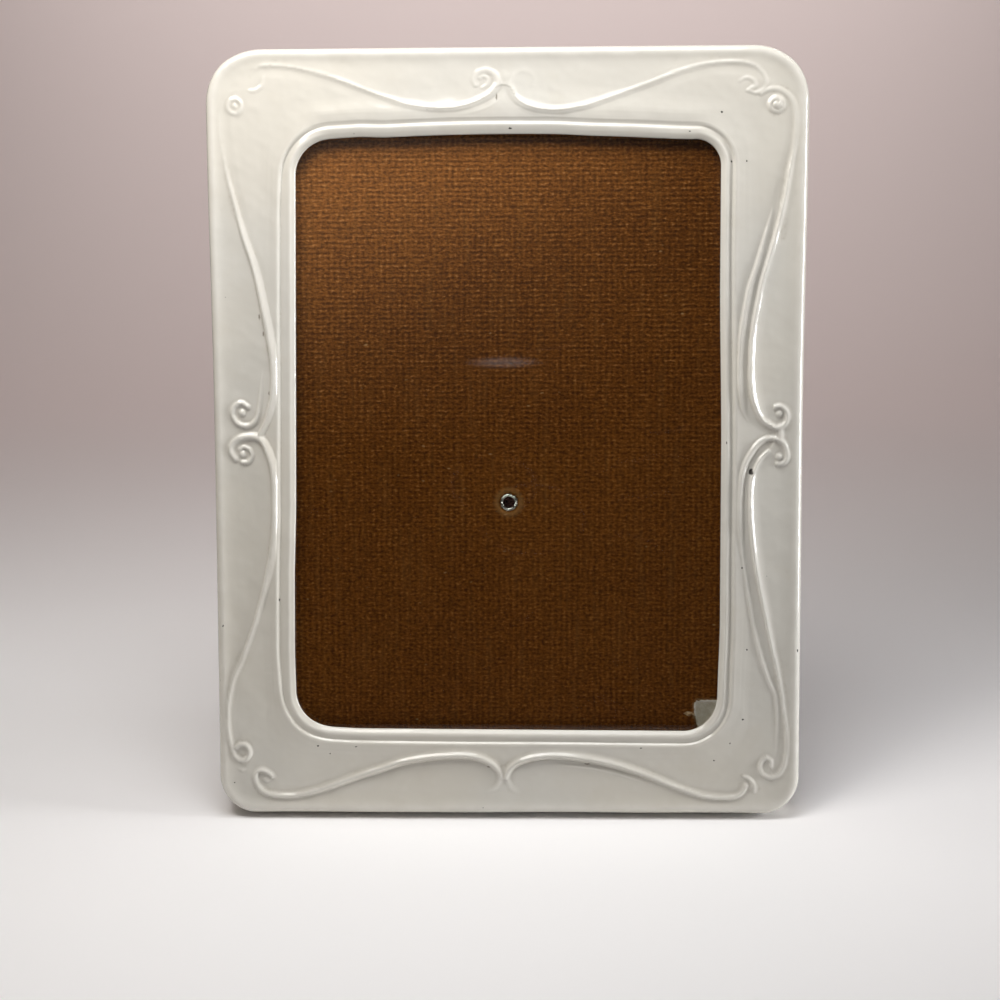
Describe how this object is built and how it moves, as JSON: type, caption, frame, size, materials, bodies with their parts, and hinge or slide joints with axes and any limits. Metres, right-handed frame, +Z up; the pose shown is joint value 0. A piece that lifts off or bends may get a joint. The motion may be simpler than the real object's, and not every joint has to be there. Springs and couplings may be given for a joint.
{
  "type": "picture frame",
  "caption": "Free-standing cast-metal picture frame in cream enamel with scroll ridges, a glass pane, a hardboard back held by turn buttons, and an easel leg that folds and swivels.",
  "frame": {"origin": "on the standing surface, under the middle of the object's box", "axes": "+Z up, +X to the right seen from the front, -Y out of the front; the face leans back 13 degrees towards +Y"},
  "size_m": [0.1704, 0.0584, 0.2148],
  "materials": {
    "cream_enamel": "thick glossy cream-white enamel",
    "pane_glass": "clear polished",
    "hardboard": "dark brown hardboard, screen-pattern side forward",
    "leg_hardboard": "dark brown hardboard, smooth side out",
    "bright_steel": "bright plated steel",
    "zinc_steel": "dull zinc-plated sheet steel"
  },
  "bodies": {
    "frame_body": {"cast_frame": "cream_enamel", "glass": "pane_glass", "backing_board": "hardboard", "swivel_rivet": "bright_steel", "button_screw_1": "bright_steel", "button_screw_2": "bright_steel", "button_screw_3": "bright_steel", "button_screw_4": "bright_steel"},
    "swivel_hinge": {"swivel_plate": "zinc_steel", "hinge_pin": "bright_steel"},
    "easel_leg": {"strut_leaf": "zinc_steel", "strut": "leg_hardboard", "strut_rivet_1": "bright_steel", "strut_rivet_2": "bright_steel"},
    "button_1": {"turn_button_1": "zinc_steel"},
    "button_2": {"turn_button_2": "zinc_steel"},
    "button_3": {"turn_button_3": "zinc_steel"},
    "button_4": {"turn_button_4": "zinc_steel"}
  },
  "joints": [
    {"name": "leg_swivel", "type": "hinge", "parent": "frame_body", "child": "swivel_hinge", "pos_m": [0.0004, 0.0002, 0.08797], "axis": [0, 0.9744, -0.225], "range_deg": [-90, 90]},
    {"name": "leg_fold", "type": "hinge", "parent": "swivel_hinge", "child": "easel_leg", "pos_m": [0.0004, -0.00066, 0.07894], "axis": [-1, 0, 0], "range_deg": [0, 26]},
    {"name": "button_1_turn", "type": "hinge", "parent": "frame_body", "child": "button_1", "pos_m": [-0.06935, 0.01378, 0.15391], "axis": [0, 0.9744, -0.225], "continuous": true},
    {"name": "button_2_turn", "type": "hinge", "parent": "frame_body", "child": "button_2", "pos_m": [0.06935, 0.01378, 0.15391], "axis": [0, 0.9744, -0.225], "continuous": true},
    {"name": "button_3_turn", "type": "hinge", "parent": "frame_body", "child": "button_3", "pos_m": [-0.06935, -0.01097, 0.04673], "axis": [0, 0.9744, -0.225], "continuous": true},
    {"name": "button_4_turn", "type": "hinge", "parent": "frame_body", "child": "button_4", "pos_m": [0.06935, -0.01097, 0.04673], "axis": [0, 0.9744, -0.225], "continuous": true}
  ]
}
